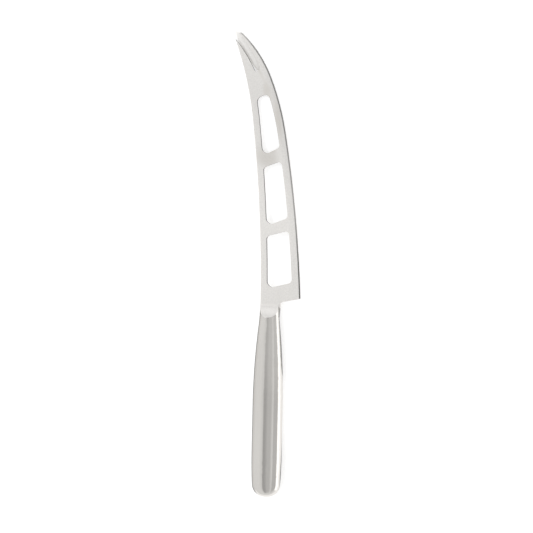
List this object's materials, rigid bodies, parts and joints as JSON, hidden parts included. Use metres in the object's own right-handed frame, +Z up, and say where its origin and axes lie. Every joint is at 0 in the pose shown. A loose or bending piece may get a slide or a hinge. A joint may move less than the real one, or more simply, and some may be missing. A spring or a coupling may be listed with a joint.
{
  "type": "soft cheese knife",
  "caption": "Table knife for soft cheese: a curved blade with windows that shed the slice, a forked tip to lift it, and an oval handle, all in one piece of steel.",
  "frame": {"origin": "on the table, under the middle of the outline of the knife as it lies on its side", "axes": "+Y towards the forked tip, +X towards the cutting edge, +Z up from the table"},
  "size_m": [0.04, 0.2546, 0.0112],
  "materials": {
    "steel": "satin ground blade and polished handle, stainless steel"
  },
  "bodies": {
    "root": {"cheese_knife": "steel"}
  },
  "joints": []
}
